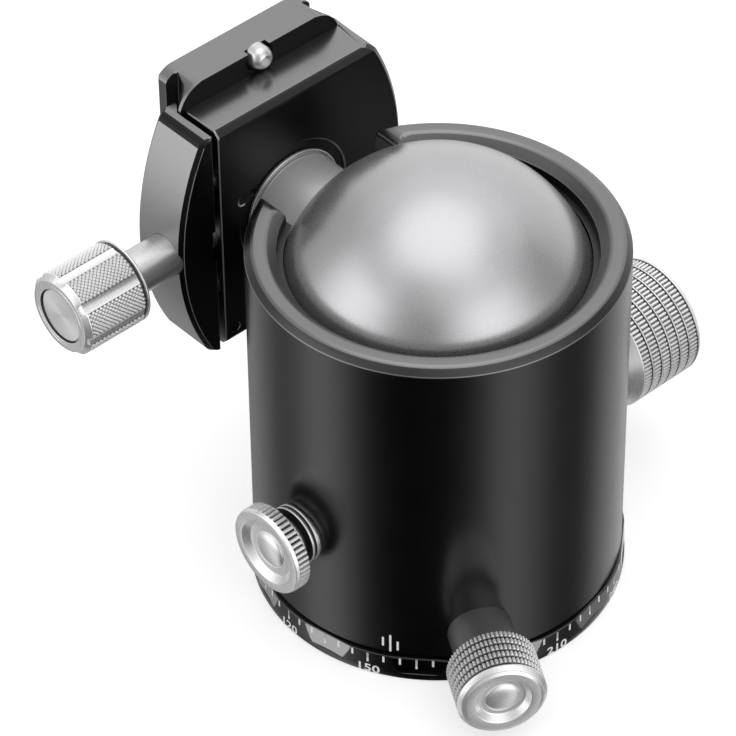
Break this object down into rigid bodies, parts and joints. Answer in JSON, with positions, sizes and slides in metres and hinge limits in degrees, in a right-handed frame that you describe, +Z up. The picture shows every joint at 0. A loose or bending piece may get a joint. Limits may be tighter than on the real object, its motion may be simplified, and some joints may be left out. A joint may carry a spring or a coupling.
{
  "type": "tripod ball head",
  "caption": "Panning tripod ball head with a drop notch, knurled lock knobs with wedge locks, and a screw-operated dovetail clamp holding a quick-release plate.",
  "frame": {"origin": "centre of the base disc's underside, on the pan axis", "axes": "+Z up the pan axis, -X towards the drop notch where the neck lies at rest, +Y towards the main lock knob"},
  "size_m": [0.1088, 0.1081, 0.09],
  "materials": {
    "black_anodised": "satin black anodised",
    "black_gloss": "smooth black anodised, glossier than the housing",
    "grey_anodised": "matte dark grey anodised",
    "silver_knob": "bright turned and knurled",
    "ball_metal": "satin silver grey, hard anodised",
    "raw_aluminium": "plain machined",
    "steel": "machined",
    "spring_steel": "spring temper",
    "seat_bronze": "turned bearing bronze",
    "slide_plastic": "white low-friction plastic",
    "seat_plastic": "hard ivory bearing plastic",
    "black_plastic": "smooth black bearing plastic",
    "pad_rubber": "ribbed soft rubber"
  },
  "bodies": {
    "base": {"pan_base": "black_anodised", "thread_insert": "steel", "pan_washer": "slide_plastic", "keeper_plate": "steel", "keeper_screws": "steel"},
    "housing": {"housing": "black_anodised", "bearing_ring": "seat_bronze", "wedge_guide": "raw_aluminium", "cup_spring": "spring_steel", "upper_seat_ring": "black_plastic", "main_collar": "black_anodised", "drag_collar": "silver_knob", "pan_collar": "grey_anodised"},
    "seat": {"seat_cup": "seat_plastic"},
    "main_wedge": {"main_wedge": "steel"},
    "main_knob": {"main_screw": "steel", "main_knob": "silver_knob", "main_knob_cap": "silver_knob"},
    "drag_wedge": {"drag_wedge": "steel"},
    "drag_knob": {"drag_screw": "steel", "drag_knob": "silver_knob"},
    "pan_brake": {"pan_brake_pad": "seat_bronze"},
    "pan_knob": {"pan_screw": "steel", "pan_knob": "silver_knob"},
    "ball": {"ball": "ball_metal", "neck_washer": "silver_knob"},
    "clamp": {"clamp_body": "black_gloss", "clamp_bolt": "steel", "guide_pins": "steel", "jaw_springs": "spring_steel"},
    "jaw": {"clamp_jaw": "black_gloss"},
    "clamp_knob": {"clamp_screw": "silver_knob", "clamp_screw_clip": "spring_steel", "clamp_knob": "silver_knob", "clamp_knob_cap": "silver_knob"},
    "plate": {"plate": "black_gloss", "plate_pads": "pad_rubber", "stop_screw": "silver_knob"},
    "camera_screw": {"camera_screw": "steel", "camera_screw_clip": "spring_steel"}
  },
  "joints": [
    {"name": "pan", "type": "hinge", "parent": "base", "child": "housing", "pos_m": [0, 0, 0.011], "axis": [0, 0, 1], "continuous": true},
    {"name": "tilt", "type": "hinge", "parent": "housing", "child": "ball", "pos_m": [0, 0, 0.06003], "axis": [0, 1, 0], "range_deg": [0, 135]},
    {"name": "spin", "type": "hinge", "parent": "ball", "child": "clamp", "pos_m": [-0.038, 0, 0.06003], "axis": [-1, 0, 0], "continuous": true},
    {"name": "main_knob_turn", "type": "hinge", "parent": "main_wedge", "child": "main_knob", "pos_m": [0, 0.0475, 0.024], "axis": [0, -1, 0], "range_deg": [0, 180]},
    {"name": "main_wedge_slide", "type": "slide", "parent": "housing", "child": "main_wedge", "axis": [0, -1, 0], "range_m": [0, 0.0005]},
    {"name": "seat_lift", "type": "slide", "parent": "housing", "child": "seat", "axis": [0, 0, 1], "range_m": [0, 0.000134]},
    {"name": "drag_knob_turn", "type": "hinge", "parent": "drag_wedge", "child": "drag_knob", "pos_m": [0, -0.04, 0.0263], "axis": [0, 1, 0], "range_deg": [0, 180]},
    {"name": "drag_wedge_slide", "type": "slide", "parent": "housing", "child": "drag_wedge", "axis": [0, 1, 0], "range_m": [0, 0.0005]},
    {"name": "pan_knob_turn", "type": "hinge", "parent": "pan_brake", "child": "pan_knob", "pos_m": [0.04027, -0.02325, 0.0115], "axis": [-0.866, 0.5, 0], "range_deg": [0, 180]},
    {"name": "pan_brake_slide", "type": "slide", "parent": "housing", "child": "pan_brake", "axis": [-0.866, 0.5, 0], "range_m": [0, 0.0005]},
    {"name": "jaw_slide", "type": "slide", "parent": "clamp", "child": "jaw", "axis": [0, -1, 0], "range_m": [0, 0.004]},
    {"name": "clamp_knob_turn", "type": "hinge", "parent": "jaw", "child": "clamp_knob", "pos_m": [-0.04288, -0.044, 0.06003], "axis": [0, -1, 0], "range_deg": [0, 1440]},
    {"name": "plate_slide", "type": "slide", "parent": "clamp", "child": "plate", "axis": [0, 0, 1], "range_m": [0, 0.03]},
    {"name": "camera_screw_turn", "type": "hinge", "parent": "plate", "child": "camera_screw", "pos_m": [-0.0555, 0.0006, 0.06443], "axis": [-1, 0, 0], "continuous": true}
  ],
  "couplings": [
    {"joint": "main_knob_turn", "follows": "main_wedge_slide", "rad_per_m": 6283.2},
    {"joint": "seat_lift", "follows": "main_wedge_slide", "ratio": 0.26795},
    {"joint": "drag_knob_turn", "follows": "drag_wedge_slide", "rad_per_m": 6283.2},
    {"joint": "pan_knob_turn", "follows": "pan_brake_slide", "rad_per_m": 6283.2},
    {"joint": "clamp_knob_turn", "follows": "jaw_slide", "rad_per_m": 6283.2}
  ]
}
